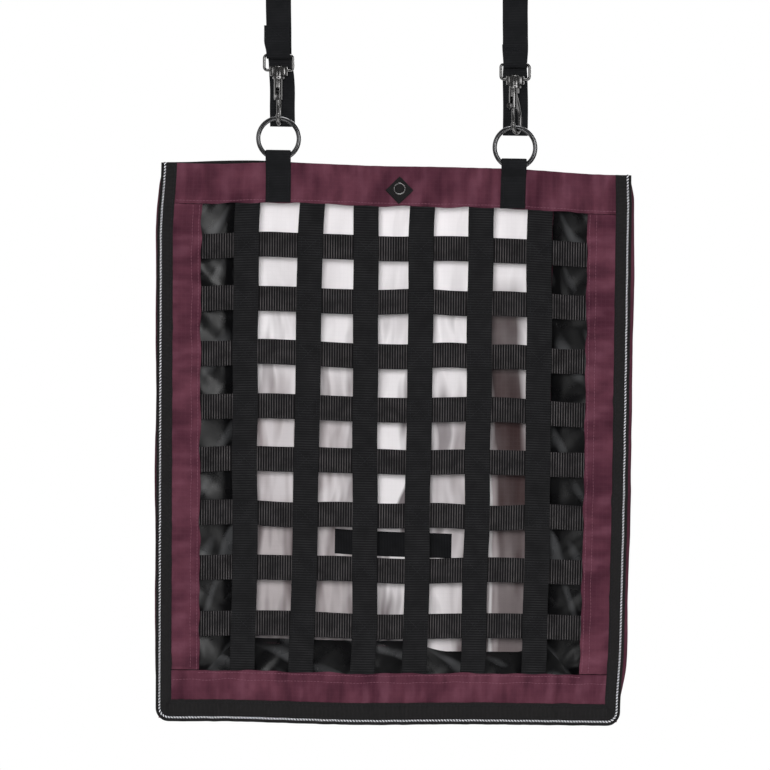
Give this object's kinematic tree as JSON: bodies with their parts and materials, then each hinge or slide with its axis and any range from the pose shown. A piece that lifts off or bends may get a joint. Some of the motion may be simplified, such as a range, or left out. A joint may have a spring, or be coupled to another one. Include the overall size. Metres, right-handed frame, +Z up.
{
  "type": "hay bag",
  "caption": "Flat hay bag with a webbing net front, cloth back and folding gussets, hung by rings and swivel bolt snaps on two adjustable straps.",
  "frame": {"origin": "midway between the tops of the two strap loops, where the bag hangs", "axes": "+Z up, the net faces -Y, +X to the right as the net is looked at"},
  "size_m": [0.466, 0.0781, 0.81],
  "materials": {
    "webbing": "woven polyester webbing, matt",
    "burgundy_cloth": "ripstop polyester cloth, matt",
    "black_tape": "grosgrain binding tape, matt",
    "gusset_cloth": "coated polyester cloth, glossy inner face",
    "silver_lining": "silvery white coated lining",
    "piping_cord": "twisted silver-white cord",
    "dark_nickel": "polished dark nickel plate",
    "bright_nickel": "polished nickel-plated zinc",
    "spring_steel": "bright spring wire"
  },
  "bodies": {
    "straps": {"strap_left": "webbing", "strap_right": "webbing"},
    "slider_left": {"strap_slider_left": "dark_nickel"},
    "eye_left": {"swivel_eye_left": "bright_nickel"},
    "snap_left": {"swivel_rivet_left": "bright_nickel", "snap_body_left": "bright_nickel", "snap_spring_left": "spring_steel"},
    "bolt_left": {"snap_bolt_left": "bright_nickel"},
    "ring_body_left": {"ring_left": "dark_nickel"},
    "slider_right": {"strap_slider_right": "dark_nickel"},
    "eye_right": {"swivel_eye_right": "bright_nickel"},
    "snap_right": {"swivel_rivet_right": "bright_nickel", "snap_body_right": "bright_nickel", "snap_spring_right": "spring_steel"},
    "bolt_right": {"snap_bolt_right": "bright_nickel"},
    "ring_body_right": {"ring_right": "dark_nickel"},
    "bag_front": {"ring_loop_left": "webbing", "ring_loop_right": "webbing", "front_band_top": "burgundy_cloth", "front_band_bottom": "burgundy_cloth", "front_band_left": "burgundy_cloth", "front_band_right": "burgundy_cloth", "net_vertical_1": "webbing", "net_vertical_2": "webbing", "net_vertical_3": "webbing", "net_vertical_4": "webbing", "net_vertical_5": "webbing", "net_vertical_6": "webbing", "net_horizontal_1": "webbing", "net_horizontal_2": "webbing", "net_horizontal_3": "webbing", "net_horizontal_4": "webbing", "net_horizontal_5": "webbing", "net_horizontal_6": "webbing", "net_horizontal_7": "webbing", "net_horizontal_8": "webbing", "front_binding_left": "black_tape", "front_binding_right": "black_tape", "front_binding_bottom": "black_tape", "front_piping": "piping_cord", "badge_patch": "black_tape", "badge_eyelet": "bright_nickel"},
    "bag_back": {"back_lining": "silver_lining", "back_panel": "burgundy_cloth", "back_top_binding": "black_tape", "back_binding_left": "black_tape", "back_binding_right": "black_tape", "back_binding_bottom": "black_tape", "inner_tape": "webbing"},
    "gusset_left_front_half": {"gusset_left_front": "gusset_cloth"},
    "gusset_right_front_half": {"gusset_right_front": "gusset_cloth"},
    "gusset_bottom_front_half": {"gusset_bottom_front": "gusset_cloth"},
    "gusset_left_rear_half": {"gusset_left_rear": "gusset_cloth"},
    "gusset_right_rear_half": {"gusset_right_rear": "gusset_cloth"},
    "gusset_bottom_rear_half": {"gusset_bottom_rear": "gusset_cloth"}
  },
  "joints": [
    {"name": "slider_slide_left", "type": "slide", "parent": "straps", "child": "slider_left", "axis": [0, 0, 1], "range_m": [-0.035, 0.004]},
    {"name": "eye_tilt_left", "type": "hinge", "parent": "straps", "child": "eye_left", "pos_m": [-0.118, 0, -0.14995], "axis": [-1, 0, 0], "range_deg": [-1, 35]},
    {"name": "snap_swivel_left", "type": "hinge", "parent": "eye_left", "child": "snap_left", "pos_m": [-0.118, 0, -0.17225], "axis": [0, 0, 1], "range_deg": [-28, 30]},
    {"name": "bolt_slide_left", "type": "slide", "parent": "snap_left", "child": "bolt_left", "axis": [0, 0, 1], "range_m": [0, 0.0075], "stiffness_N_per_m": 300, "springref_m": -0.004, "deforming": ["snap_spring_left"]},
    {"name": "ring_swing_left", "type": "hinge", "parent": "eye_left", "child": "ring_body_left", "pos_m": [-0.118, 0.0025, -0.2125], "axis": [-1, 0, 0], "range_deg": [-20, 20]},
    {"name": "slider_slide_right", "type": "slide", "parent": "straps", "child": "slider_right", "axis": [0, 0, 1], "range_m": [-0.035, 0.004]},
    {"name": "eye_tilt_right", "type": "hinge", "parent": "straps", "child": "eye_right", "pos_m": [0.118, 0, -0.14995], "axis": [-1, 0, 0], "range_deg": [-1, 35]},
    {"name": "snap_swivel_right", "type": "hinge", "parent": "eye_right", "child": "snap_right", "pos_m": [0.118, 0, -0.17225], "axis": [0, 0, 1], "range_deg": [-2, 60]},
    {"name": "bolt_slide_right", "type": "slide", "parent": "snap_right", "child": "bolt_right", "axis": [0, 0, 1], "range_m": [0, 0.0075], "stiffness_N_per_m": 300, "springref_m": -0.004, "deforming": ["snap_spring_right"]},
    {"name": "ring_swing_right", "type": "hinge", "parent": "eye_right", "child": "ring_body_right", "pos_m": [0.118, 0.0025, -0.2125], "axis": [-1, 0, 0], "range_deg": [-20, 20]},
    {"name": "bag_swing", "type": "hinge", "parent": "ring_body_left", "child": "bag_front", "pos_m": [-0.118, 0.0025, -0.2507], "axis": [-1, 0, 0], "range_deg": [-20, 20]},
    {"name": "bag_open", "type": "slide", "parent": "bag_front", "child": "bag_back", "axis": [0, 1, 0], "range_m": [-0.024, 0.05]},
    {"name": "gusset_left_front_fold", "type": "hinge", "parent": "bag_front", "child": "gusset_left_front_half", "pos_m": [-0.2277, 0.0148, -0.525], "axis": [0, 0, 1], "range_deg": [-10.3, 19.7]},
    {"name": "gusset_right_front_fold", "type": "hinge", "parent": "bag_front", "child": "gusset_right_front_half", "pos_m": [0.2343, 0.0148, -0.525], "axis": [0, 0, -1], "range_deg": [-10.3, 19.7]},
    {"name": "gusset_bottom_front_fold", "type": "hinge", "parent": "bag_front", "child": "gusset_bottom_front_half", "pos_m": [0.0033, 0.0148, -0.808], "axis": [-1, 0, 0], "range_deg": [-10.3, 19.7]},
    {"name": "gusset_left_rear_fold", "type": "hinge", "parent": "bag_back", "child": "gusset_left_rear_half", "pos_m": [-0.2277, 0.0548, -0.525], "axis": [0, 0, -1], "range_deg": [-10.3, 19.7]},
    {"name": "gusset_right_rear_fold", "type": "hinge", "parent": "bag_back", "child": "gusset_right_rear_half", "pos_m": [0.2343, 0.0548, -0.525], "axis": [0, 0, 1], "range_deg": [-10.3, 19.7]},
    {"name": "gusset_bottom_rear_fold", "type": "hinge", "parent": "bag_back", "child": "gusset_bottom_rear_half", "pos_m": [0.0033, 0.0548, -0.808], "axis": [1, 0, 0], "range_deg": [-10.3, 19.7]}
  ],
  "couplings": [
    {"joint": "eye_tilt_right", "follows": "eye_tilt_left", "ratio": 1},
    {"joint": "ring_swing_right", "follows": "ring_swing_left", "ratio": 1},
    {"joint": "gusset_left_front_fold", "follows": "bag_open", "rad_per_m": 6.819},
    {"joint": "gusset_right_front_fold", "follows": "bag_open", "rad_per_m": 6.819},
    {"joint": "gusset_bottom_front_fold", "follows": "bag_open", "rad_per_m": 6.819},
    {"joint": "gusset_left_rear_fold", "follows": "bag_open", "rad_per_m": 6.819},
    {"joint": "gusset_right_rear_fold", "follows": "bag_open", "rad_per_m": 6.819},
    {"joint": "gusset_bottom_rear_fold", "follows": "bag_open", "rad_per_m": 6.819}
  ]
}
